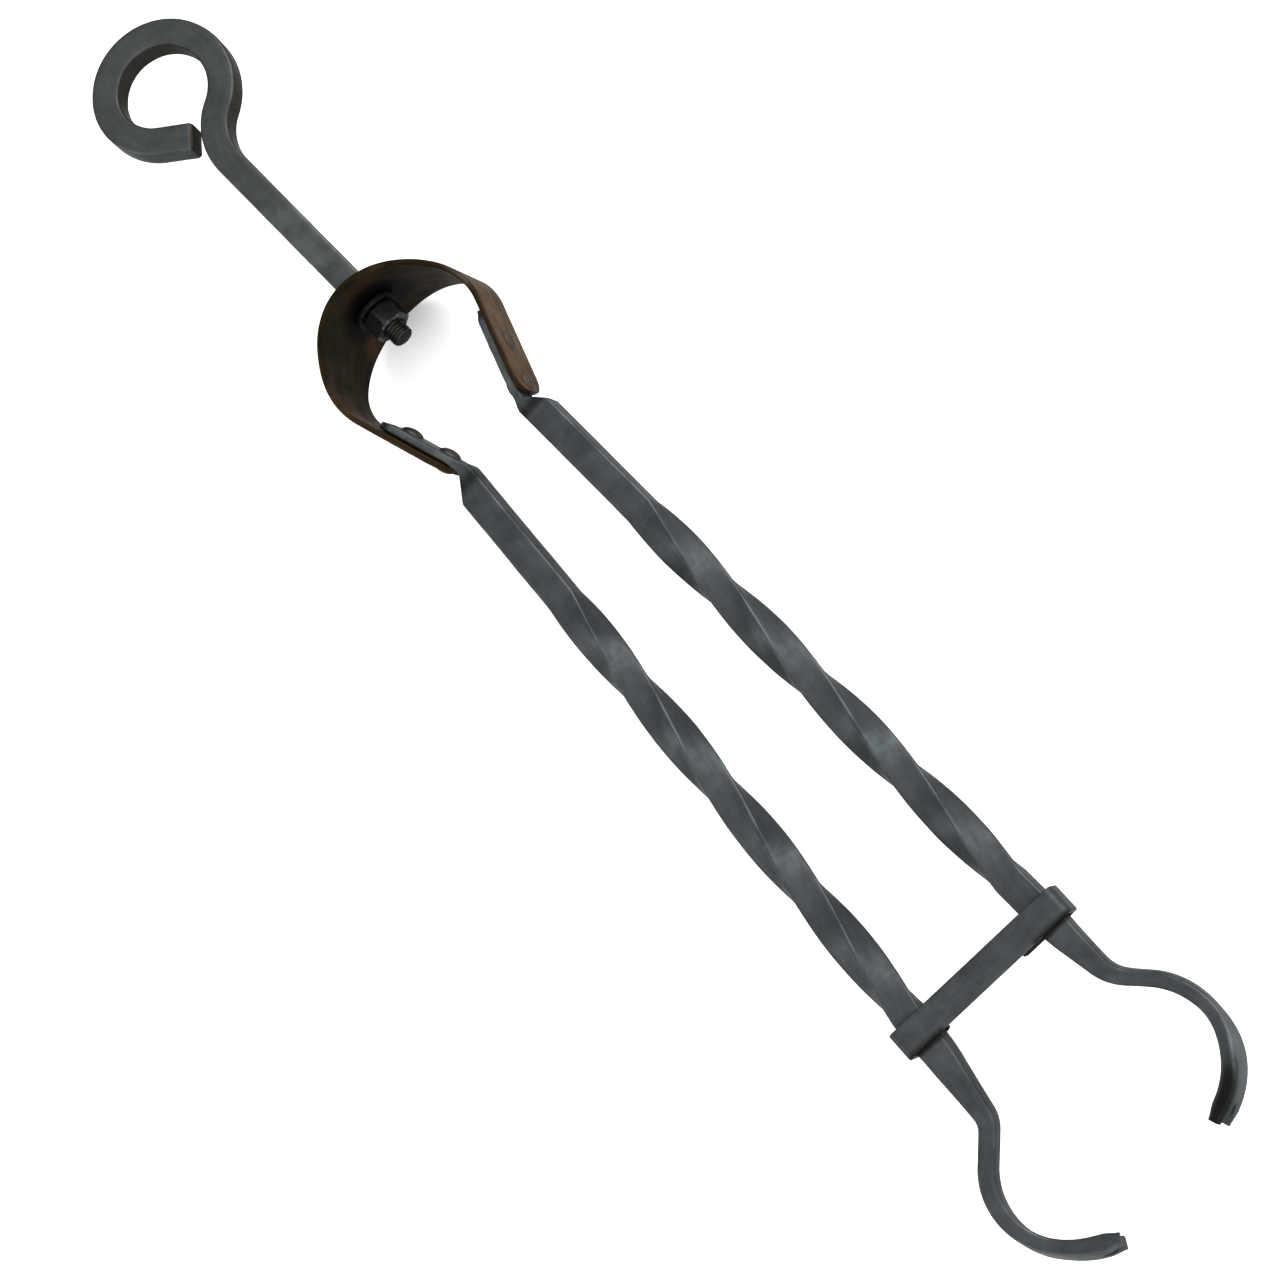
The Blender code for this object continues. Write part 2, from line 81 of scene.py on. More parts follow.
# Handle
HANDLE_LEAN = 2.2
HANDLE_ROLL = -9.4
EYE_X = -0.1110
EYE_Y = 0.0009
EYE_RADIUS = 0.0216
NECK_RADIUS = 0.0215
EYE_TAIL_START = 229.0
TAIL_RADIUS = 0.0187
TAIL_HEADING = 50.4
TAIL_LENGTH = 0.0133

# Stud, washer and nut
STUD_RADIUS = 0.004
STUD_END_X = 0.0190
THREAD_PITCH = 0.00125
THREAD_DEPTH = 0.00042
WASHER_RADIUS = 0.0085
WASHER_THICKNESS = 0.0018
NUT_FLATS = 0.013
NUT_THICKNESS = 0.0078

# Arms
ARM_Y_AT_CROWN = 0.0150
ARM_ANGLE = 2.26
SHOULDER_X = 0.0690
SHOULDER_LENGTH = {"left": 0.0042, "right": 0.0088}
SHOULDER_WIDTH = {"left": 0.0072, "right": 0.0048}
TWIST_START_X = {"left": 0.1232, "right": 0.1258}
TWIST_END_X = {"left": 0.2948, "right": 0.3036}
BEND_START_X = 0.317
TAPER_START_X = {"left": 0.309, "right": 0.314}
TAPER_LENGTH = 0.034
TONGUE_START = {"left": 0.0028, "right": 0.0055}
TONGUE_END = 0.0366
TONGUE_THICKNESS = 0.0032
TONGUE_WIDTH = 0.016
TAPER_HEADING = 5.8
# A claw's last value is the strength of the painted shade on its top near the tip
CLAWS = {
    "left": {"start_x": 0.3319, "neck_radius": 0.0155, "neck_heading": 44.5, "straight": 0.0067,
             "crest_radius": 0.0264, "crest_heading": -8.0, "arc_radius": 0.0270, "end_heading": -66.0,
             "neck_width": 0.0053, "width": 0.0047, "tip_width": 0.0057,
             "roll": 23.0, "roll_from": 2.0, "roll_to": -41.0, "painted_shade": 1.3},
    "right": {"start_x": 0.3414, "neck_radius": 0.0094, "neck_heading": 44.9, "straight": 0.0112,
              "crest_radius": 0.0238, "crest_heading": -42.0, "arc_radius": 0.0354, "end_heading": -64.5,
              "neck_width": 0.0059, "width": 0.0053, "tip_width": 0.0062,
              "roll": 19.5, "roll_from": 39.5, "roll_to": -51.0, "painted_shade": 0.0},
}
CLAW_HEIGHT = 0.0093
CLAW_CORNER = 0.0011
CLAW_TIP_LENGTH = 0.0070
CLAW_TIP_NARROWING = 0.28
NOTCH_DEPTH = 0.0072
NOTCH_OPENING = 0.0046

# Guide bar
GUIDE_X = 0.30975
GUIDE_WIDTH = 0.0103
GUIDE_THICKNESS = 0.0022
GUIDE_BEND_RADIUS = 0.0008
GUIDE_REACH = 0.0332
GUIDE_CORNER = 0.00045
LEFT_HOOK_END_Y = 0.0122
RIGHT_HOOK_END_Y = -0.0210

# Rivets
RIVET_STATIONS = {"upper": 0.0150, "lower": 0.0308}
RIVET_RADIUS = 0.0024
RIVET_HEAD_RADIUS = 0.0042
RIVET_HEAD_HEIGHT = 0.0018
RIVET_TAIL_RADIUS = 0.0035
RIVET_TAIL_HEIGHT = 0.0011

# How closely the surfaces are sampled, and the angle from which an edge is drawn sharp
STATION_STEP = 0.0010
SHARP_ANGLE = 42.0

# Hammer marks: their depth, their scales along and across a bar, and the shares of coarse and fine
HAMMER_DEPTH = 0.00016
HAMMER_SCALE = 90.0
HAMMER_ACROSS = 260.0
FINE_HAMMER = 3.1
COARSE_DENT = 0.38
FINE_DENT = 0.12
HAMMER_SEEDS = {"handle": 11.0, "left": 3.0, "right": 7.0, "guide": 21.0}

# Unevenness of the bow's outer face
WAVE_DEPTH = 0.00016
WAVE_SCALE = 70.0

# Base colour of places that rub bright in use, and of the painted highlight on the claws
BURNISH_AND_PAINTED_HIGHLIGHT = (0.125, 0.135, 0.138)

# Tones, as strengths and as the stretches in metres over which they come in or fade out.
# A lightening is added to a surface's tone and a darkening is taken from it; the darkenings of the tone are
# painted shade.
LEG_FADE = (0.042, 0.052)
# Painted shade along the legs' rims
LEG_RIM_PAINTED_SHADE = 0.55
# Share of the rims' painted highlight kept on the right half, away from the light
RIGHT_RIM_HIGHLIGHT_SHARE = 0.25
# Darker round the middle of the crown, inside and outside
CROWN_DARK_INSIDE = (0.006, 0.021)
CROWN_DARK_OUTSIDE = (0.004, 0.012)
TAN_FADE = (0.022, 0.060)
# Share of the tan kept on the inner face, lowered as painted shade
INSIDE_TAN_SHARE_PAINTED_SHADE = 0.55
RUST_PLACE = (-0.013, -0.019)
RUST_RADIUS = 0.008
RUST_STRENGTH = 0.9
SHANK_SHINE = 0.18
SHANK_FADE = (0.040, 0.075)
# Painted shade on the eye's side walls and on the tail's end
EYE_INNER_WALL_PAINTED_SHADE = 0.75
EYE_OUTER_WALL_PAINTED_SHADE = 0.80
EYE_WALL = (0.0042, 0.0049)
TAIL_END_PAINTED_SHADE = 1.6
TONGUE_SHINE = 0.30
# Painted shade in the crease between tongue and shoulder
SHOULDER_CREASE_PAINTED_SHADE = 0.9
# Painted highlight on the claws' outer faces
CLAW_PAINTED_HIGHLIGHT = 0.55
# Painted shadow of the guide bar on the arms
GUIDE_PAINTED_SHADOW = 1.1
# Painted shade on the guide bar's lower run and its claw-side face by the arms
GUIDE_UNDER_PAINTED_SHADE = 0.85

# Camera, from the crown of the bow
CAMERA_PLACE = Vector((0.39039, 0.17312, 0.87619))
CAMERA_RIGHT = Vector((0.64797, 0.69129, -0.31976))
CAMERA_DOWN = Vector((0.71750, -0.69500, -0.04870))
CAMERA_LENS = 78.75


# ---------------------------------------------------------------- plane lines and sections

class Pen:
    """Draws a smooth plane line and notes a station (x, y, heading, distance) at each step."""

    def __init__(self, x, y, heading):
        self.x, self.y, self.heading, self.distance = x, y, radians(heading), 0.0
        self.stations = [(x, y, self.heading, 0.0)]

    def _note(self):
        self.stations.append((self.x, self.y, self.heading, self.distance))

    def line(self, length):
        steps = max(1, round(length / STATION_STEP))
        for _ in range(steps):
            self.x += cos(self.heading) * length / steps
            self.y += sin(self.heading) * length / steps
            self.distance += length / steps
            self._note()
        return self

    def arc(self, radius, end_heading, finest=4.0):
        """Turns to end_heading (degrees), to the left if that is larger, else to the right."""
        turn = radians(end_heading) - self.heading
        side = 1.0 if turn > 0 else -1.0
        centre_x = self.x - side * radius * sin(self.heading)
        centre_y = self.y + side * radius * cos(self.heading)
        steps = max(round(radius * abs(turn) / STATION_STEP), round(abs(degrees(turn)) / finest), 2)
        for _ in range(steps):
            self.heading += turn / steps
            self.x = centre_x + side * radius * sin(self.heading)
            self.y = centre_y - side * radius * cos(self.heading)
            self.distance += radius * abs(turn) / steps
            self._note()
        return self


def smooth(start, end, value):
    """0 before start, 1 after end and an even S between them."""
    t = min(max((value - start) / (end - start), 0.0), 1.0)
    return t * t * (3.0 - 2.0 * t)


def mix(a, b, amount):
    return a + (b - a) * amount


def bar_section(width, height, corner, corner_steps=4, flat_steps=4):
    """A rectangle with round corners, as (across, up, edge) points; edge is 1 on the arrises."""
    points = []
    for quarter in range(4):
        sx = 1.0 if quarter in (0, 3) else -1.0
        sy = 1.0 if quarter in (0, 1) else -1.0
        for k in range(corner_steps + 1):
            angle = radians(90.0 * (quarter + k / corner_steps))
            edge = 1.0 - abs(2.0 * k / corner_steps - 1.0) * 0.6
            points.append((sx * (width / 2 - corner) + corner * cos(angle),
                           sy * (height / 2 - corner) + corner * sin(angle), edge))
        first = points[-1]
        after = radians(90.0 * (quarter + 1))
        nx = 1.0 if (quarter + 1) % 4 in (0, 3) else -1.0
        ny = 1.0 if (quarter + 1) % 4 in (0, 1) else -1.0
        last = (nx * (width / 2 - corner) + corner * cos(after),
                ny * (height / 2 - corner) + corner * sin(after))
        for k in range(1, flat_steps):
            share = k / flat_steps
            points.append((mix(first[0], last[0], share), mix(first[1], last[1], share), 0.0))
    return points


def hammered(section, distance, seed, depth=HAMMER_DEPTH):
    """Pulls a section's points inward by a smooth, shallow unevenness that varies along the bar."""
    half_width = max(u for u, _, _ in section)
    half_height = max(v for _, v, _ in section)
    out = []
    for u, v, edge in section:
        place = Vector((distance * HAMMER_SCALE, u * HAMMER_ACROSS + seed, v * HAMMER_ACROSS - seed))
        coarse = COARSE_DENT + COARSE_DENT * noise.noise(place)
        dent = depth * (coarse + FINE_DENT + FINE_DENT * noise.noise(place * FINE_HAMMER))
        out.append((u * (1.0 - dent / half_width), v * (1.0 - dent / half_height), edge))
    return out


class Ring:
    """Points of one cross-section in space, with the surface values the materials use."""

    def __init__(self, points, grain, edges, tones=None):
        self.points, self.grain, self.edges = points, grain, edges
        self.tones = tones or [0.0] * len(points)


def place_section(section, x, y, heading, distance, roll=0.0, tones=None):
    """Stands a section upright across a plane line, rolled about the line's direction."""
    across = Vector((-sin(heading), cos(heading), 0.0))
    centre = Vector((x, y, 0.0))
    points = []
    for u, v, _ in section:
        side = u * cos(roll) - v * sin(roll)
        up = u * sin(roll) + v * cos(roll)
        points.append(centre + across * side + Vector((0.0, 0.0, up)))
    grain = [(distance, u, v) for u, v, _ in section]
    return Ring(points, grain, [edge for _, _, edge in section], tones)


def mirror_section(section, sign):
    return section if sign > 0 else [(-u, v, edge) for u, v, edge in section]


def skin(name, rings, closed=False, place=Matrix.Identity(4)):
    """A closed solid through rings of equal length, with each ring's values kept for the materials."""
    work = bmesh.new()
    grain = work.verts.layers.float_vector.new("grain")
    edge = work.verts.layers.float.new("edge")
    tone = work.verts.layers.float.new("tone")
    loops = []
    for ring in rings:
        loop = []
        for point, coordinates, wear, shade in zip(ring.points, ring.grain, ring.edges, ring.tones):
            vertex = work.verts.new(point)
            vertex[grain] = coordinates
            vertex[edge] = wear
            vertex[tone] = shade
            loop.append(vertex)
        loops.append(loop)
    count = len(loops[0])
    pairs = list(zip(loops, loops[1:]))
    if closed:
        pairs.append((loops[-1], loops[0]))
    for first, second in pairs:
        for i in range(count):
            j = (i + 1) % count
            work.faces.new((first[i], first[j], second[j], second[i]))
    if not closed:
        work.faces.new(loops[0])
        work.faces.new(reversed(loops[-1]))
    bmesh.ops.recalc_face_normals(work, faces=work.faces)
    mesh = bpy.data.meshes.new(name)
    work.to_mesh(mesh)
    work.free()
    mesh.transform(Matrix.Translation(CROWN) @ place)
    mesh.shade_smooth()
    mesh.set_sharp_from_angle(angle=radians(SHARP_ANGLE))
    piece = bpy.data.objects.new(name, mesh)
    bpy.context.scene.collection.objects.link(piece)
    return piece


def finished(piece, material, slot, body, *nodes):
    """Gives a rigid piece its material, body and the CAD nodes it stands for; the slot is not used."""
    piece.data.materials.append(material)
    if body:
        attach(piece, body)
    if nodes:
        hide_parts(*nodes)
    return piece


# ---------------------------------------------------------------- materials

class Nodes:
    """A small helper for building one shader tree."""

    def __init__(self, name):
        self.material = bpy.data.materials.new(name)
        self.material.use_nodes = True
        self.tree = self.material.node_tree
        self.shader = self.tree.nodes["Principled BSDF"]

    def add(self, kind, **settings):
        node = self.tree.nodes.new(kind)
        for key, value in settings.items():
            setattr(node, key, value)
        return node

    def link(self, output, socket):
        self.tree.links.new(output, socket)

    def attribute(self, name):
        return self.add("ShaderNodeAttribute", attribute_name=name)

    def scaled(self, vector, scale):
        node = self.add("ShaderNodeVectorMath", operation="MULTIPLY")
        self.link(vector, node.inputs[0])
        node.inputs[1].default_value = scale
        return node.outputs["Vector"]

    def noise(self, vector, scale, detail=4.0, roughness=0.55, distortion=0.0):
        node = self.add("ShaderNodeTexNoise")
        self.link(vector, node.inputs["Vector"])
        node.inputs["Scale"].default_value = scale
        node.inputs["Detail"].default_value = detail
        node.inputs["Roughness"].default_value = roughness
        node.inputs["Distortion"].default_value = distortion
        return node.outputs["Fac"]

    def span(self, value, low, high, to_low=0.0, to_high=1.0):
        node = self.add("ShaderNodeMapRange")
        self.link(value, node.inputs["Value"])
        for key, number in zip(("From Min", "From Max", "To Min", "To Max"), (low, high, to_low, to_high)):
            node.inputs[key].default_value = number
        return node.outputs["Result"]

    def math(self, operation, a, b):
        node = self.add("ShaderNodeMath", operation=operation)
        for socket, value in zip(node.inputs, (a, b)):
            if isinstance(value, (int, float)):
                socket.default_value = value
            else:
                self.link(value, socket)
        return node.outputs["Value"]

    def blend(self, factor, first, second):
        node = self.add("ShaderNodeMix", data_type="RGBA")
        self.link(factor, node.inputs["Factor"])
        for socket, colour in ((node.inputs[6], first), (node.inputs[7], second)):
            if isinstance(colour, tuple):
                socket.default_value = (*colour, 1.0)
            else:
                self.link(colour, socket)
        return node.outputs[2]

    def bump(self, height, strength, distance):
        node = self.add("ShaderNodeBump")
        self.link(height, node.inputs["Height"])
        node.inputs["Strength"].default_value = strength
        node.inputs["Distance"].default_value = distance
        self.link(node.outputs["Normal"], self.shader.inputs["Normal"])


def forged_material(name, dark, light, worn, painted_shade, rough=(0.40, 0.54)):
    """Oil-blackened forged bar: mottled scale, streaks, rubbed arrises, bright places with a painted
    highlight among them, and painted shade.
    """
    n = Nodes(name)
    grain = n.attribute("grain").outputs["Vector"]
    mottle = n.noise(n.scaled(grain, (0.6, 1.0, 1.0)), 130.0, 6.0, 0.62)
    streak = n.noise(n.scaled(grain, (0.22, 1.0, 1.0)), 800.0, 3.0, 0.5)
    hammer = n.noise(n.scaled(grain, (1.0, 0.25, 0.25)), 420.0, 3.0, 0.6, 0.6)
    speckle = n.noise(grain, 2600.0, 2.0, 0.6)
    fine = n.math("ADD", n.math("MULTIPLY", streak, 0.5), n.math("MULTIPLY", hammer, 0.5))
    tone = n.math("ADD", n.math("MULTIPLY", mottle, 0.6), n.math("MULTIPLY", fine, 0.4))
    colour = n.blend(n.span(tone, 0.36, 0.64), dark, light)
    rub = n.math("MULTIPLY", n.attribute("edge").outputs["Fac"], n.span(mottle, 0.35, 0.62))
    colour = n.blend(n.span(rub, 0.25, 1.0, 0.0, 0.8), colour, worn)
    shade = n.math("ADD", n.attribute("tone").outputs["Fac"], n.span(tone, 0.3, 0.7, -0.12, 0.12))
    # Positive tone lightens toward the burnished colour; on the claws this is a painted highlight
    colour = n.blend(n.span(shade, 0.12, 1.1), colour, BURNISH_AND_PAINTED_HIGHLIGHT)
    # Negative tone darkens toward the painted shade colour
    colour = n.blend(n.span(shade, -0.12, -1.0), colour, painted_shade)
    n.link(colour, n.shader.inputs["Base Color"])
    n.link(n.span(tone, 0.3, 0.7, rough[1], rough[0]), n.shader.inputs["Roughness"])
    n.shader.inputs["Metallic"].default_value = 0.9
    n.shader.inputs["Specular Tint"].default_value = (0.42, 0.43, 0.43, 1.0)
    n.bump(n.math("ADD", n.math("MULTIPLY", speckle, 0.4), fine), 0.35, 0.00014)
    return n.material


def spring_material(name):
    """Heat-tinted spring strip: olive brown, tan toward the legs, less tan inside as painted shade, black
    round the nut, with a painted highlight and painted shade on the rims.
    """
    n = Nodes(name)
    grain = n.attribute("grain").outputs["Vector"]
    crown_dark = n.attribute("crown_dark").outputs["Fac"]
    tan_share = n.attribute("tan").outputs["Fac"]
    mottle = n.noise(grain, 95.0, 6.0, 0.62, 0.4)
    streak = n.noise(n.scaled(grain, (0.12, 1.0, 1.0)), 700.0, 3.0, 0.5)
    cloud = n.noise(grain, 38.0, 3.0, 0.5)
    tone = n.math("ADD", n.math("MULTIPLY", mottle, 0.65), n.math("MULTIPLY", streak, 0.35))
    colour = n.blend(n.span(tone, 0.35, 0.66), (0.0034, 0.0028, 0.0013), (0.0120, 0.0086, 0.0039))
    brown = n.blend(n.span(tone, 0.35, 0.66), (0.0175, 0.0100, 0.0050), (0.0450, 0.0265, 0.0140))
    wander = n.math("ADD", tan_share, n.span(cloud, 0.3, 0.7, -0.25, 0.25))
    colour = n.blend(n.span(wander, 0.1, 0.9), colour, brown)
    # Darker toward purple black round the middle of the crown
    darkening = n.math("ADD", crown_dark, n.span(mottle, 0.3, 0.7, -0.22, 0.22))
    purple = n.blend(n.span(cloud, 0.4, 0.6), (0.0012, 0.0010, 0.0015), (0.0024, 0.0017, 0.0019))
    colour = n.blend(n.span(darkening, 0.18, 0.62), colour, purple)
    # Painted highlight: the rims go light grey where the strip is tan
    rim = n.math("MULTIPLY", n.attribute("edge").outputs["Fac"], n.span(tan_share, 0.15, 0.6))
    colour = n.blend(n.span(rim, 0.2, 1.0, 0.0, 0.6), colour, (0.064, 0.060, 0.052))
    rust = n.math("ADD", n.attribute("rust").outputs["Fac"], n.span(mottle, 0.3, 0.7, -0.25, 0.25))
    colour = n.blend(n.span(rust, 0.25, 1.1, 0.0, 0.65), colour, (0.040, 0.018, 0.008))
    # Negative tone paints near-black shade along the legs' rims
    colour = n.blend(n.span(n.attribute("tone").outputs["Fac"], -0.1, -1.0), colour, (0.003, 0.003, 0.003))
    n.link(colour, n.shader.inputs["Base Color"])
    n.link(n.span(tone, 0.3, 0.7, 0.66, 0.50), n.shader.inputs["Roughness"])
    n.shader.inputs["Metallic"].default_value = 0.04
    n.shader.inputs["Specular IOR Level"].default_value = 0.02
    n.shader.inputs["Specular Tint"].default_value = (0.30, 0.26, 0.20, 1.0)
    n.bump(streak, 0.25, 0.00010)
    return n.material


def fastener_material(name, dark, light, worn, rough):
    """Black-oxide hardware with rubbed edges."""
    n = Nodes(name)
    grain = n.attribute("grain").outputs["Vector"]
    mottle = n.noise(grain, 420.0, 5.0, 0.6)
    colour = n.blend(n.span(mottle, 0.35, 0.68), dark, light)
    rub = n.math("MULTIPLY", n.attribute("edge").outputs["Fac"], n.span(mottle, 0.3, 0.6))
    colour = n.blend(n.span(rub, 0.2, 1.0), colour, worn)
    n.link(colour, n.shader.inputs["Base Color"])
    n.link(n.span(mottle, 0.3, 0.7, rough + 0.1, rough - 0.08), n.shader.inputs["Roughness"])
    n.shader.inputs["Metallic"].default_value = 0.8
    n.shader.inputs["Specular Tint"].default_value = (0.30, 0.30, 0.30, 1.0)
    n.bump(mottle, 0.3, 0.00008)
    return n.material


def floor_material():
    """Plain white studio floor."""
    n = Nodes("studio_floor")
    place = n.add("ShaderNodeTexCoord").outputs["Object"]
    cloud = n.noise(place, 2.0, 2.0)
    n.link(n.blend(cloud, (0.94, 0.94, 0.94), (0.96, 0.96, 0.96)), n.shader.inputs["Base Color"])
    n.shader.inputs["Roughness"].default_value = 0.9
    n.shader.inputs["Specular IOR Level"].default_value = 0.0
    return n.material


# ---------------------------------------------------------------- bow

def bow_line():
    """The outer face of the bow's left half, from the crown to the end of the leg."""
    pen = Pen(0.0, 0.0, 90.0)
    pen.arc(CROWN_RADIUS, 90.0 - CROWN_ANGLE, 1.6)
    pen.arc(SHOULDER_RADIUS, -LEG_ANGLE, 1.6)
    pen.line(LEG_LENGTH)
    return pen


def strip_width(distance, length):
    """Full width of the strip at a distance from the crown, with a rounded end."""
    leaf = 0.5 + 0.5 * cos(pi * min(distance / LEAF_HALF_LENGTH, 1.0))
    width = mix(LEG_WIDTH, CROWN_WIDTH, leaf)
    into_corner = distance - (length - LEG_CORNER)
    if into_corner > 0.0:
        width -= 2.0 * (LEG_CORNER - sqrt(max(LEG_CORNER ** 2 - into_corner ** 2, 0.0)))
    return width


def bow_stations():
    """Stations of bow_line, made closer together where the leg's end is rounded."""
    pen = bow_line()
    length = pen.distance
    keep = [s for s in pen.stations if s[3] < length - LEG_CORNER - 1e-6]
    x, y, heading, _ = pen.stations[-1]
    for k in range(15):
        back = LEG_CORNER * (1.0 - sin(radians(90.0 * k / 14)))
        back = min(max(back, 0.0), LEG_CORNER)
        keep.append((x - cos(heading) * back, y - sin(heading) * back, heading, length - back))
    return keep, length


def strip_section(width):
    """The strip's section as (inward, up, edge): wide flats, softly rounded rims."""
    rim = 0.0005
    across = 18
    points = []
    for k in range(across + 1):
        share = k / across
        points.append((0.0, (width / 2 - rim) * (1.0 - 2.0 * share), 0.0))
    for k in (1, 2, 3):
        angle = radians(90.0 * k / 4)
        points.append((rim * (1 - cos(angle)), -(width / 2 - rim) - rim * sin(angle), 0.5))
    points.append((rim, -width / 2, 1.0))
    points.append((STRIP - rim, -width / 2, 1.0))
    for k in (1, 2, 3):
        angle = radians(90.0 * k / 4)
        points.append((STRIP - rim * (1 - sin(angle)), -(width / 2 - rim) - rim * cos(angle), 0.5))
    for k in range(across + 1):
        share = k / across
        points.append((STRIP, -(width / 2 - rim) * (1.0 - 2.0 * share), 0.0))
    for k in (1, 2, 3):
        angle = radians(90.0 * k / 4)
        points.append((STRIP - rim * (1 - cos(angle)), (width / 2 - rim) + rim * sin(angle), 0.5))
    points.append((STRIP - rim, width / 2, 1.0))
    points.append((rim, width / 2, 1.0))
    for k in (1, 2, 3):
        angle = radians(90.0 * k / 4)
        points.append((rim * (1 - sin(angle)), (width / 2 - rim) + rim * cos(angle), 0.5))
    return points


def make_half_bow(side, sign, material):
    """Half of the bow, from the crown to the end of a leg."""
    stations, length = bow_stations()
    rings = []
    for x, y, heading, distance in stations:
        outward = Vector((-sin(heading), cos(heading) * sign, 0.0))
        width = max(strip_width(distance, length), 0.0022)
        section = strip_section(width)
        points = []
        for inward, up, _ in section:
            wave = WAVE_DEPTH * noise.noise(Vector((distance * WAVE_SCALE * sign, up * WAVE_SCALE, 3.0)))
            wave = max(wave, 0.0) * smooth(0.0, 0.006, distance) * (1.0 - inward / STRIP)
            points.append(Vector((x, y * sign, up)) - outward * (inward + wave))
        grain = [(distance * sign, up, inward * 4.0) for inward, up, _ in section]
        on_leg = smooth(*LEG_FADE, distance)
        # Painted highlight on the rims before the legs: full on the left half, which faces the light, a
        # quarter on the right
        bright = 1.0 - on_leg if sign > 0 else RIGHT_RIM_HIGHLIGHT_SHARE * (1.0 - on_leg)
        # Painted shade along the rims on the legs
        tones = [-LEG_RIM_PAINTED_SHADE * on_leg * edge for _, _, edge in section]
        rings.append(Ring(points, grain, [edge * bright for _, _, edge in section], tones))
    name = f"bow_{side}_half"
    piece = skin(name, rings)
    mesh = piece.data
    for kind in ("crown_dark", "tan", "rust"):
        mesh.attributes.new(kind, "FLOAT", "POINT")
    crown_dark, brown, rust = (mesh.attributes[kind].data for kind in ("crown_dark", "tan", "rust"))
    for k, item in enumerate(mesh.attributes["grain"].data):
        along, up, depth = item.vector
        inner = depth > STRIP * 2.0
        away = sqrt((along * 0.9) ** 2 + up ** 2)
        # The inner face keeps only part of the tan, as painted shade inside the bow
        brown[k].value = smooth(*TAN_FADE, abs(along)) * (INSIDE_TAN_SHARE_PAINTED_SHADE if inner else 1.0)
        # Darker round the middle of the crown: fully on the inner face, half as much on the outer
        if inner:
            crown_dark[k].value = 1.0 - smooth(*CROWN_DARK_INSIDE, away)
            spot = sqrt((along - RUST_PLACE[0]) ** 2 + (up - RUST_PLACE[1]) ** 2) / RUST_RADIUS
            rust[k].value = RUST_STRENGTH * (1.0 - smooth(0.2, 1.6, spot))
        else:
            crown_dark[k].value = 0.5 - 0.5 * smooth(*CROWN_DARK_OUTSIDE, away)
    piece.data.materials.append(material)
    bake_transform(piece)
    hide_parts("bow_spring")


# ---------------------------------------------------------------- handle

def handle_matrix():
    """From the handle's own line, whose origin is on the crown, to the tongs' axis frame."""
    centre = Matrix.Translation((CROWN_RADIUS, 0.0, 0.0))
    return centre @ Matrix.Rotation(radians(HANDLE_LEAN), 4, "Z") @ centre.inverted()


def make_handle(material):
    """Hammered square bar with a shiny shank, and painted shade on the eye's side walls and on the sheared
    tail's end.
    """
    leave = asin((NECK_RADIUS - EYE_Y) / (EYE_RADIUS + NECK_RADIUS))
    neck_x = EYE_X + (EYE_RADIUS + NECK_RADIUS) * cos(leave)
    pen = Pen(-GAP, 0.0, 180.0)
    pen.line(-GAP - neck_x)
    pen.arc(NECK_RADIUS, 90.0 + degrees(leave), 3.0)
    eye_start = pen.distance
    pen.arc(EYE_RADIUS, EYE_TAIL_START + 90.0, 3.0)
    pen.arc(TAIL_RADIUS, 360.0 + TAIL_HEADING, 3.0)
    pen.line(TAIL_LENGTH)
    total = pen.distance
    rings = []
    for x, y, heading, distance in pen.stations:
        corner = BAR_CORNER + 0.0004 * (0.5 + 0.5 * noise.noise(Vector((distance * 40.0, 2.0, 5.0))))
        end = 1.0 - 0.10 * (1.0 - smooth(0.0, 0.0012, total - distance))
        section = hammered(bar_section(HANDLE_BAR * end, HANDLE_BAR * end, corner), distance,
                           HAMMER_SEEDS["handle"])
        in_eye = smooth(eye_start, eye_start + 0.008, distance)
        shank = SHANK_SHINE * (1.0 - smooth(*SHANK_FADE, distance))
        # Painted shade on the tail's end, and on the eye's inner and outer walls
        tail = TAIL_END_PAINTED_SHADE * (1.0 - smooth(0.0002, 0.0012, total - distance))
        outer = EYE_OUTER_WALL_PAINTED_SHADE * smooth(0.066, 0.080, distance)
        outer *= 1.0 - smooth(eye_start + 0.020, eye_start + 0.045, distance)
        tones = [shank - tail - EYE_INNER_WALL_PAINTED_SHADE * in_eye * smooth(*EYE_WALL, u)
                 - outer * smooth(*EYE_WALL, -u) for u, _, _ in section]
        rings.append(place_section(section, x, y, heading, distance, tones=tones))
    rolled = handle_matrix() @ Matrix.Rotation(radians(HANDLE_ROLL), 4, "X")
    piece = skin("handle_bar", rings, place=rolled)
    finished(piece, material, "forged_steel", ROOT, "handle")


def make_stud(material):
    """The stud's threaded end: a ridge that winds round the shank, with a chamfered tip."""
    count = 36
    step = THREAD_PITCH / 8
    start = 0.002
    rings = []
    steps = int((STUD_END_X - start) / step)
    for k in range(steps + 1):
        x = start + (STUD_END_X - start) * k / steps
        limit = min(STUD_RADIUS, STUD_RADIUS - 0.0009 + (STUD_END_X - x) * 1.2)
        points, grain, edges = [], [], []
        for i in range(count):
            angle = 2 * pi * i / count
            phase = (x / THREAD_PITCH - i / count) % 1.0
            crest = 1.0 - abs(2.0 * phase - 1.0)
            radius = min(STUD_RADIUS - THREAD_DEPTH * (1.0 - crest), limit)
            points.append(Vector((x, radius * cos(angle), radius * sin(angle))))
            grain.append((x, radius * cos(angle), radius * sin(angle)))
            edges.append(crest)
        rings.append(Ring(points, grain, edges))
    piece = skin("stud_thread", rings, place=handle_matrix())
    finished(piece, material, "fastener_steel", ROOT)


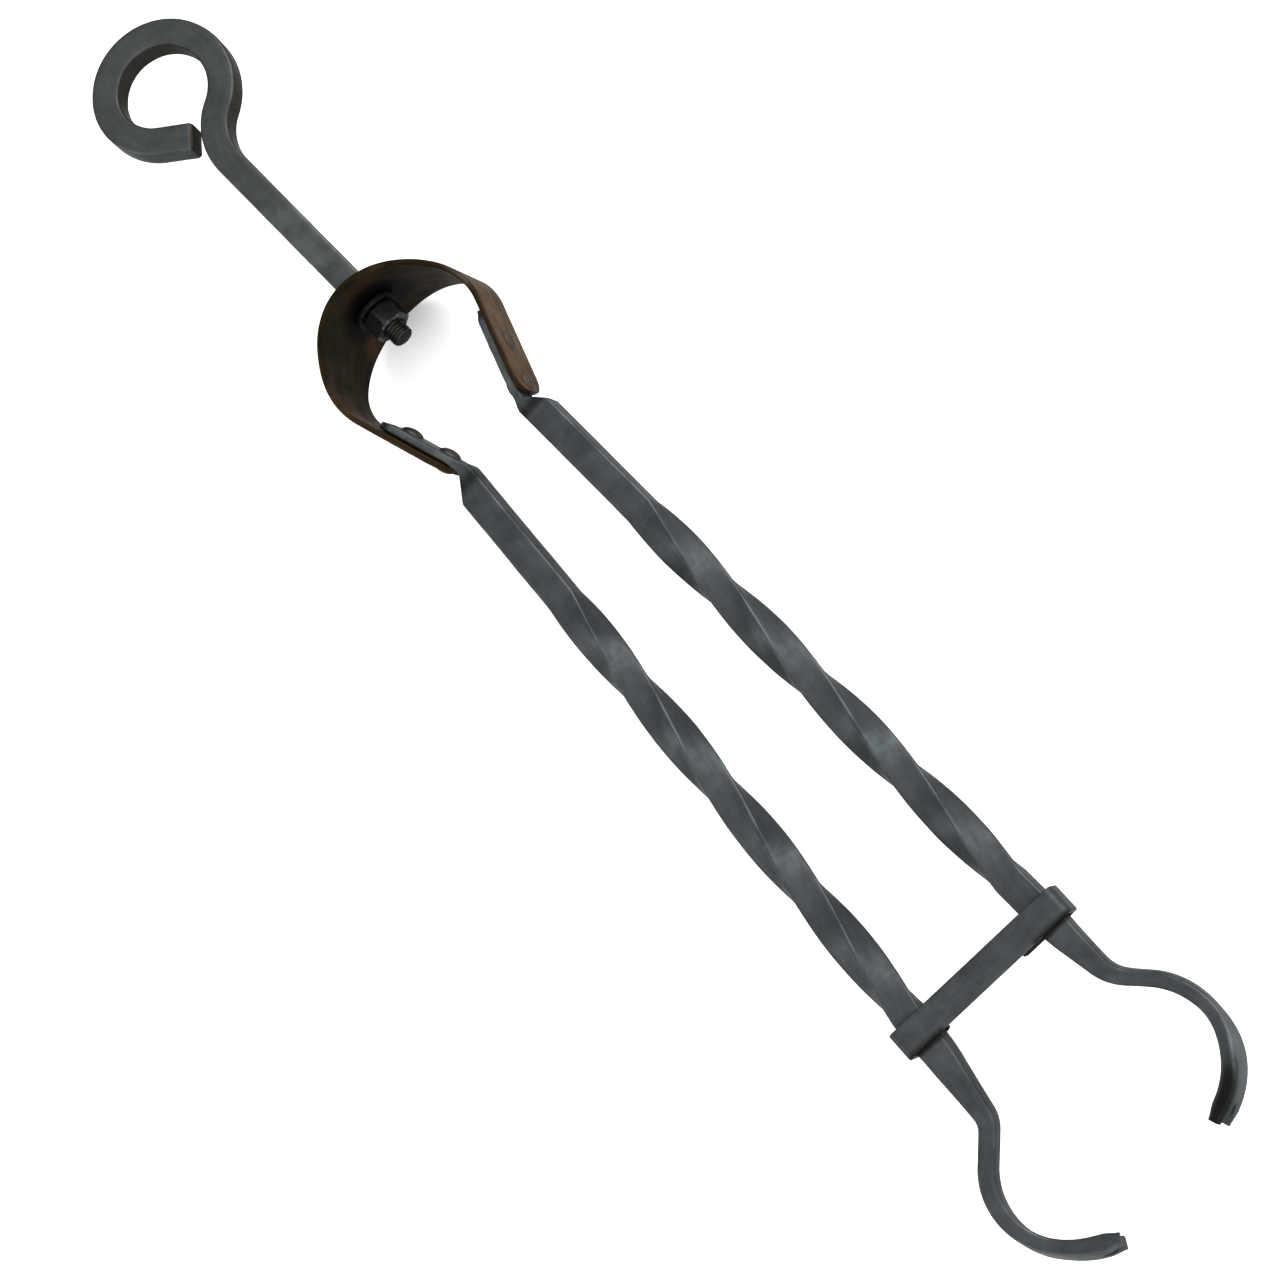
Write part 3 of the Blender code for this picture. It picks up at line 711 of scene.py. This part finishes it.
def make_washer(material, start):
    """A flat washer with bevelled rims."""
    bevel = 0.0003
    inner, outer = STUD_RADIUS + GAP, WASHER_RADIUS
    profile = [(outer - bevel, 0.0, 0.4), (outer, bevel, 1.0), (outer, WASHER_THICKNESS - bevel, 1.0),
               (outer - bevel, WASHER_THICKNESS, 0.6), (mix(inner, outer, 0.5), WASHER_THICKNESS, 0.0),
               (inner, WASHER_THICKNESS, 0.2), (inner, 0.0, 0.0)]
    rings = []
    for radius, height, edge in profile:
        points = [Vector((start + height, radius * cos(2 * pi * i / 56), radius * sin(2 * pi * i / 56)))
                  for i in range(56)]
        rings.append(Ring(points, [tuple(p) for p in points], [edge] * 56))
    piece = skin("washer_plate", rings, closed=True, place=handle_matrix())
    finished(piece, material, "fastener_steel", ROOT, "stud_washer")


def make_nut(material, start):
    """A hexagon whose corners are cut by a cone at both faces."""
    count = 72
    face_radius = NUT_FLATS / 2 * 0.955
    rings = []
    heights = [0.0, 0.0003, 0.0006, 0.0009, 0.0013, 0.0018]
    heights = heights + [NUT_THICKNESS / 2] + [NUT_THICKNESS - h for h in reversed(heights)]
    for height in heights:
        inset = min(height, NUT_THICKNESS - height)
        limit = face_radius + inset * 1.55
        points, edges = [], []
        for i in range(count):
            angle = 2 * pi * i / count
            from_flat = (angle + radians(30.0)) % radians(60.0) - radians(30.0)
            hexagon = (NUT_FLATS / 2 - 0.00005) / cos(from_flat)
            radius = min(hexagon, limit, NUT_FLATS / 2 * 1.135)
            points.append(Vector((start + height, radius * cos(angle), radius * sin(angle))))
            edges.append(0.8 if limit < hexagon or abs(from_flat) > radians(27.0) else 0.0)
        rings.append(Ring(points, [tuple(p) for p in points], edges))
    for height in (NUT_THICKNESS, 0.0):
        radius = STUD_RADIUS + GAP
        points = [Vector((start + height, radius * cos(2 * pi * i / count), radius * sin(2 * pi * i / count)))
                  for i in range(count)]
        rings.append(Ring(points, [tuple(p) for p in points], [0.3] * count))
    piece = skin("hex_nut", rings, closed=True, place=handle_matrix())
    finished(piece, material, "fastener_steel", ROOT, "stud_nut")


# ---------------------------------------------------------------- arms

def arm_y(x):
    return ARM_Y_AT_CROWN + x * tan(radians(ARM_ANGLE))


def leg_point(distance):
    """The outer face of the straight leg at a distance along it."""
    pen = bow_line()
    x, y, heading, _ = pen.stations[-1]
    back = LEG_LENGTH - distance
    return x - cos(heading) * back, y - sin(heading) * back, heading


def tongue_stations(side):
    """Tongue, forged transition and shoulder, as (x, y, heading, width, height, corner)."""
    out = []
    steps = 40
    for k in range(steps + 1):
        share = k / steps
        x, y, heading = leg_point(mix(TONGUE_START[side], TONGUE_END, share))
        spread = smooth(0.0, 0.12, share) * (1.0 - smooth(0.72, 1.0, share))
        width = TONGUE_THICKNESS * (0.8 + 0.2 * smooth(0.0, 0.15, share))
        height = mix(ARM_BAR + 0.002, TONGUE_WIDTH, spread)
        inward = STRIP + GAP + width / 2
        out.append((x + sin(heading) * inward, y - cos(heading) * inward, heading, width, height, 0.0009))
    return out


def shoulder_station(side, share):
    x = SHOULDER_X + SHOULDER_LENGTH[side] * share
    width = mix(SHOULDER_WIDTH[side], ARM_BAR, share)
    return x, arm_y(x) - (ARM_BAR - width) / 2, radians(ARM_ANGLE), width, ARM_BAR, BAR_CORNER


def arm_line(side):
    """The arm's centre line from the shoulder to the tip of the claw, on +Y."""
    claw = CLAWS[side]
    start_x = SHOULDER_X + SHOULDER_LENGTH[side]
    slope = cos(radians(ARM_ANGLE))
    pen = Pen(start_x, arm_y(start_x), ARM_ANGLE)
    pen.line((BEND_START_X - start_x) / slope)
    pen.arc(0.06, TAPER_HEADING)
    pen.line((claw["start_x"] - pen.x) / cos(radians(TAPER_HEADING)))
    pen.arc(claw["neck_radius"], claw["neck_heading"])
    pen.line(claw["straight"])
    pen.arc(claw["crest_radius"], claw["crest_heading"])
    pen.arc(claw["arc_radius"], claw["end_heading"])
    pen.line(CLAW_TIP_LENGTH)
    return pen


def claw_roll(claw, heading):
    """How far the claw leans its top edge inward, which grows toward the tip."""
    return radians(claw["roll"]) * smooth(-claw["roll_from"], -claw["roll_to"], -degrees(heading))


def arm_shape(side, x, heading):
    """Width, height, corner radius, twist and roll of the bar at a station of the arm."""
    claw = CLAWS[side]
    along_twist = (x - TWIST_START_X[side]) / (TWIST_END_X[side] - TWIST_START_X[side])
    twist = 2 * pi * min(max(along_twist, 0.0), 1.0)
    along_taper = min(max((x - TAPER_START_X[side]) / TAPER_LENGTH, 0.0), 1.0)
    taper = mix(along_taper, smooth(0.0, 1.0, along_taper), 0.5)
    crest = smooth(-claw["neck_heading"], -claw["crest_heading"], -degrees(heading)) if taper == 1.0 else 0.0
    tip = smooth(-claw["crest_heading"], -claw["end_heading"], -degrees(heading))
    claw_width = mix(mix(claw["neck_width"], claw["width"], crest), claw["tip_width"], tip)
    width = mix(ARM_BAR, claw_width, taper)
    height = mix(ARM_BAR, CLAW_HEIGHT, taper)
    corner = mix(BAR_CORNER, CLAW_CORNER, taper)
    roll = claw_roll(claw, heading) if taper == 1.0 else 0.0
    return width, height, corner, twist, roll


def claw_tones(section, claw, heading, left, x):
    """The claw's outer face gets a painted highlight from the crest on; painted shade may line its top near
    the tip.
    """
    half_width = max(u for u, _, _ in section)
    half_height = max(v for _, v, _ in section)
    on_claw = smooth(claw["start_x"], claw["start_x"] + 0.004, x)
    past_crest = smooth(-20.0, 25.0, -degrees(heading)) * (1.0 - 0.55 * smooth(0.020, 0.002, left))
    near_tip = 1.0 - smooth(0.012, 0.026, left)
    tones = []
    for u, v, _ in section:
        outer = smooth(0.55, 0.98, u / half_width)
        upper = smooth(0.25, 0.75, v / half_height) * smooth(-0.75, -0.15, u / half_width)
        # Painted highlight on the outer face past the crest; painted shade on the top near the tip
        tones.append(on_claw * (CLAW_PAINTED_HIGHLIGHT * outer * past_crest - claw["painted_shade"] * upper * near_tip))
    return tones


def notch_cutter(side, sign):
    """A wedge that splits the tip of a claw into two points."""
    x, y, heading, _ = arm_line(side).stations[-1]
    forward = Vector((cos(heading), sin(heading) * sign, 0.0))
    across = Vector((-sin(heading) * sign, cos(heading), 0.0))
    up = Vector((0.0, 0.0, 1.0))
    roll = sign * claw_roll(CLAWS[side], heading)
    thin = across * cos(roll) + up * sin(roll)
    broad = up * cos(roll) - across * sin(roll)
    tip = Vector((x, y * sign, 0.0))
    over = 0.001
    half = NOTCH_OPENING / 2 * (1.0 + over / NOTCH_DEPTH)
    corners = [tip - forward * NOTCH_DEPTH + broad * 0.0003, tip + forward * over + broad * half,
               tip + forward * over - broad * half, tip - forward * NOTCH_DEPTH - broad * 0.0003]
    rings = [Ring([c + thin * reach for c in corners], [(0, 0, 0)] * 4, [0.0] * 4)
             for reach in (-ARM_BAR, ARM_BAR)]
    cutter = skin(f"{side}_notch", rings)
    return cutter


def apply_cut(piece, cutter):
    """Cuts the piece, keeps the result as its mesh and removes the cutter."""
    boolean = piece.modifiers.new("notch", "BOOLEAN")
    boolean.operation = "DIFFERENCE"
    boolean.solver = "EXACT"
    boolean.object = cutter
    graph = bpy.context.evaluated_depsgraph_get()
    graph.update()
    cut_mesh = bpy.data.meshes.new_from_object(piece.evaluated_get(graph))
    piece.modifiers.clear()
    piece.data = cut_mesh
    bpy.data.objects.remove(cutter, do_unlink=True)
    cut_mesh.shade_smooth()
    cut_mesh.set_sharp_from_angle(angle=radians(SHARP_ANGLE))


def make_arm(side, sign, material):
    """Tongue, shoulder, twisted bar and claw in one skin, with its tip split by the notch."""
    claw = CLAWS[side]
    seed = HAMMER_SEEDS[side]
    rings = []
    distance = -0.045
    previous = None
    tongue = tongue_stations(side)
    shoulder = [shoulder_station(side, 0.0)]
    first, last = tongue[-1], shoulder[0]
    bridge = []
    for k in range(1, 5):
        share = k / 5
        bridge.append(tuple(mix(a, b, share) for a, b in zip(first, last)))
    spare = [shoulder_station(side, k / 6) for k in range(1, 6)]
    for x, y, heading, width, height, corner in tongue + bridge + shoulder + spare:
        if previous is not None:
            distance += (Vector((x, y)) - previous).length
        previous = Vector((x, y))
        section = hammered(bar_section(width, height, corner), distance, seed, HAMMER_DEPTH * 0.6)
        shade = TONGUE_SHINE * (1.0 - smooth(-0.016, -0.010, distance))
        # Painted shade in the crease where the tongue meets the shoulder
        shade -= SHOULDER_CREASE_PAINTED_SHADE * (1.0 - smooth(0.0, 0.0045, abs(distance + 0.0065)))
        rings.append(place_section(mirror_section(section, sign), x, y * sign, heading * sign, distance,
                                   tones=[shade] * len(section)))
    pen = arm_line(side)
    base = distance
    for x, y, heading, along in pen.stations:
        width, height, corner, twist, roll = arm_shape(side, x, heading)
        left = pen.distance - along
        width *= 1.0 - CLAW_TIP_NARROWING * (1.0 - smooth(0.0, 0.0055, left))
        distance = base + along
        section = hammered(bar_section(width, height, corner), distance, seed)
        turn = twist + sign * roll
        # Painted shadow of the guide bar on the arm, under and just past its claw-side edge
        shadow = GUIDE_PAINTED_SHADOW * smooth(GUIDE_X - 0.0035, GUIDE_X - 0.0015, x)
        shadow *= 1.0 - smooth(GUIDE_X + 0.0058, GUIDE_X + 0.0072, x)
        tones = [tone - shadow for tone in claw_tones(section, claw, heading, left, x)]
        rings.append(place_section(mirror_section(section, sign), x, y * sign, heading * sign, distance,
                                   turn, tones))
    piece = skin(f"{side}_arm_bar", rings)
    apply_cut(piece, notch_cutter(side, sign))
    finished(piece, material, "forged_steel", f"{side}_arm", f"{side}_arm")


def leg_frame(distance, sign):
    """A point on the strip's outer face on a leg, with the outward direction as local Z."""
    x, y, heading = leg_point(distance)
    outward = Vector((-sin(heading), cos(heading) * sign, 0.0))
    up = Vector((0.0, 0.0, 1.0))
    along = up.cross(outward)
    turn = Matrix((along, up, outward)).transposed().to_4x4()
    return Matrix.Translation((x, y * sign, 0.0)) @ turn


def make_rivet(side, sign, place, distance, material):
    """A round hammered head inside the tongue, a low one outside the leg and the shank between."""
    inside = -(STRIP + GAP + TONGUE_THICKNESS)
    profile = []
    for k in range(9):
        angle = radians(90.0 * k / 8)
        profile.append((max(RIVET_HEAD_RADIUS * sin(angle), 0.0002),
                        inside - RIVET_HEAD_HEIGHT * cos(angle), 0.35 * (k < 5)))
    profile += [(RIVET_RADIUS, inside, 0.0), (RIVET_RADIUS, 0.0, 0.0)]
    for k in range(7):
        angle = radians(90.0 * (1.0 - k / 6))
        profile.append((max(RIVET_TAIL_RADIUS * sin(angle), 0.0002), RIVET_TAIL_HEIGHT * cos(angle), 0.6))
    seed = 13.0 * distance * 1000 + (5.0 if sign > 0 else 40.0)
    rings = []
    for radius, height, edge in profile:
        points = []
        for i in range(28):
            angle = 2 * pi * i / 28
            place_noise = Vector((radius * cos(angle) * 420, radius * sin(angle) * 420, height * 300 + seed))
            dent = 1.0 - 0.07 * (0.5 + 0.5 * noise.noise(place_noise))
            points.append(Vector((radius * dent * cos(angle), radius * dent * sin(angle), height)))
        rings.append(Ring(points, [tuple(p) for p in points], [edge] * 28))
    piece = skin(f"{side}_{place}_rivet_head", rings, place=leg_frame(distance, sign))
    finished(piece, material, "rivet_steel", f"{side}_arm", f"{side}_rivet_{place}")


# ---------------------------------------------------------------- guide bar

def make_guide(material):
    """Flat strip bent round both arms, drawn as a line in the plane across them."""
    half_height = ARM_BAR / 2 + GAP + GUIDE_THICKNESS
    outer = GUIDE_REACH + GUIDE_THICKNESS
    bend = GUIDE_BEND_RADIUS + GUIDE_THICKNESS
    pen = Pen(RIGHT_HOOK_END_Y, -half_height, 180.0)
    pen.line(outer + RIGHT_HOOK_END_Y - bend)
    pen.arc(bend, 90.0, 9.0)
    pen.line(2 * (half_height - bend))
    pen.arc(bend, 0.0, 9.0)
    pen.line(2 * (outer - bend))
    pen.arc(bend, -90.0, 9.0)
    pen.line(2 * (half_height - bend))
    pen.arc(bend, -180.0, 9.0)
    pen.line(outer - LEFT_HOOK_END_Y - bend)
    section = bar_section(GUIDE_WIDTH, GUIDE_THICKNESS, GUIDE_CORNER, 4, 5)
    total = pen.distance
    rings = []
    for y, z, heading, distance in pen.stations:
        end = min(distance, total - distance)
        shrink = 1.0 - 0.08 * (1.0 - smooth(0.0, 0.0008, end))
        inward = Vector((0.0, sin(heading), -cos(heading)))
        middle = Vector((GUIDE_X, y, z)) + inward * GUIDE_THICKNESS / 2
        soft = hammered(section, distance, HAMMER_SEEDS["guide"], HAMMER_DEPTH * 0.5)
        points = [middle + Vector((u * shrink, 0.0, 0.0)) - inward * v * shrink for u, v, _ in soft]
        grain = [(distance, u, v) for u, v, _ in soft]
        # Painted shade on the guide's lower run and on its claw-side face beside the arms
        under = -GUIDE_UNDER_PAINTED_SHADE * (1.0 - smooth(-half_height, -half_height + GUIDE_THICKNESS, z))
        by_arm = 1.0 - smooth(0.0066, 0.0090, abs(abs(y) - arm_y(GUIDE_X)))
        tones = [min(under, -by_arm * smooth(0.0036, 0.0046, u)) for u, _, _ in soft]
        rings.append(Ring(points, grain, [edge for _, _, edge in soft], tones))
    piece = skin("guide_strip", rings)
    finished(piece, material, "forged_steel", "right_arm", "guide_bar")


# ---------------------------------------------------------------- stage

def make_stage():
    """A wide floor just under the tongs."""
    mesh = bpy.data.meshes.new("studio_floor")
    reach = 30.0
    corners = [(-reach, -reach, 0.0), (reach, -reach, 0.0), (reach, reach, 0.0), (-reach, reach, 0.0)]
    mesh.from_pydata(corners, [], [(0, 1, 2, 3)])
    floor = bpy.data.objects.new("studio_floor", mesh)
    floor.location.z = -0.0002
    mesh.materials.append(floor_material())
    bpy.context.scene.collection.objects.link(floor)


def add_light(name, place, target, size, power):
    """A rectangular softbox that faces its target."""
    light = bpy.data.lights.new(name, "AREA")
    light.shape = "RECTANGLE"
    light.size, light.size_y = size
    light.energy = power
    lamp = bpy.data.objects.new(name, light)
    lamp.location = place
    lamp.rotation_euler = (Vector(target) - Vector(place)).to_track_quat("-Z", "Y").to_euler()
    bpy.context.scene.collection.objects.link(lamp)


def make_world(bright_side, low, high):
    """A white studio that is brightest toward one direction and falls off away from it."""
    world = bpy.data.worlds.new("studio")
    world.use_nodes = True
    nodes, links = world.node_tree.nodes, world.node_tree.links
    direction = nodes.new("ShaderNodeTexCoord")
    toward = nodes.new("ShaderNodeVectorMath")
    toward.operation = "DOT_PRODUCT"
    toward.inputs[1].default_value = bright_side.normalized()
    fall = nodes.new("ShaderNodeMapRange")
    links.new(direction.outputs["Generated"], toward.inputs[0])
    links.new(toward.outputs["Value"], fall.inputs["Value"])
    for key, number in zip(("From Min", "From Max", "To Min", "To Max"), (-0.1, 1.0, low, high)):
        fall.inputs[key].default_value = number
    background = nodes["Background"]
    background.inputs["Color"].default_value = (1.0, 1.0, 1.0, 1.0)
    links.new(fall.outputs["Result"], background.inputs["Strength"])
    bpy.context.scene.world = world


def make_camera():
    camera = bpy.data.cameras.new("camera")
    camera.lens = CAMERA_LENS
    camera.sensor_width = 36.0
    camera.clip_start = 0.01
    right = CAMERA_RIGHT.normalized()
    forward = right.cross(CAMERA_DOWN).normalized()
    down = forward.cross(right)
    holder = bpy.data.objects.new("camera", camera)
    turn = Matrix((right, -down, -forward)).transposed().to_4x4()
    holder.matrix_world = Matrix.Translation(CROWN + CAMERA_PLACE) @ turn
    bpy.context.scene.collection.objects.link(holder)
    bpy.context.scene.camera = holder


def build():
    bpy.context.scene.view_settings.view_transform = "Standard"
    make_camera()
    make_stage()
    make_world(Vector((0.50, 0.20, 0.84)), 0.45, 2.8)
    add_light("side_softbox", (-0.35, 1.35, 0.85), (0.05, 0.0, 0.0), (1.5, 0.75), 27.0)
    add_light("fill_softbox", (-0.40, -1.50, 0.35), (0.05, 0.0, 0.0), (1.4, 0.5), 13.0)

    forged = forged_material("forged_bar", (0.0225, 0.0258, 0.0270), (0.0385, 0.0438, 0.0458),
                             (0.060, 0.066, 0.069), (0.008, 0.008, 0.008))
    handle_steel = forged_material("handle_steel", (0.0275, 0.0298, 0.0302), (0.0430, 0.0465, 0.0470),
                                   (0.060, 0.066, 0.066), (0.014, 0.011, 0.007))
    spring = spring_material("spring_strip")
    oxide = fastener_material("black_oxide", (0.014, 0.014, 0.014), (0.036, 0.035, 0.034),
                              (0.110, 0.108, 0.100), 0.38)
    dark_oxide = fastener_material("dark_oxide", (0.004, 0.003, 0.005), (0.010, 0.008, 0.010),
                                   (0.022, 0.020, 0.020), 0.50)
    thread = fastener_material("stud_oxide", (0.007, 0.007, 0.006), (0.018, 0.017, 0.015),
                               (0.034, 0.032, 0.028), 0.40)
    rivet = fastener_material("rivet_steel", (0.024, 0.022, 0.019), (0.046, 0.042, 0.036),
                              (0.040, 0.036, 0.030), 0.50)

    make_handle(handle_steel)
    make_stud(thread)
    inner_radius = CROWN_RADIUS - STRIP
    washer_start = CROWN_RADIUS - sqrt(inner_radius ** 2 - WASHER_RADIUS ** 2) + GAP
    make_washer(dark_oxide, washer_start)
    make_nut(oxide, washer_start + WASHER_THICKNESS + GAP)
    for side, sign in SIDES.items():
        make_half_bow(side, sign, spring)
        make_arm(side, sign, forged)
        for place, distance in RIVET_STATIONS.items():
            make_rivet(side, sign, place, distance, rivet)
    make_guide(forged)


build()
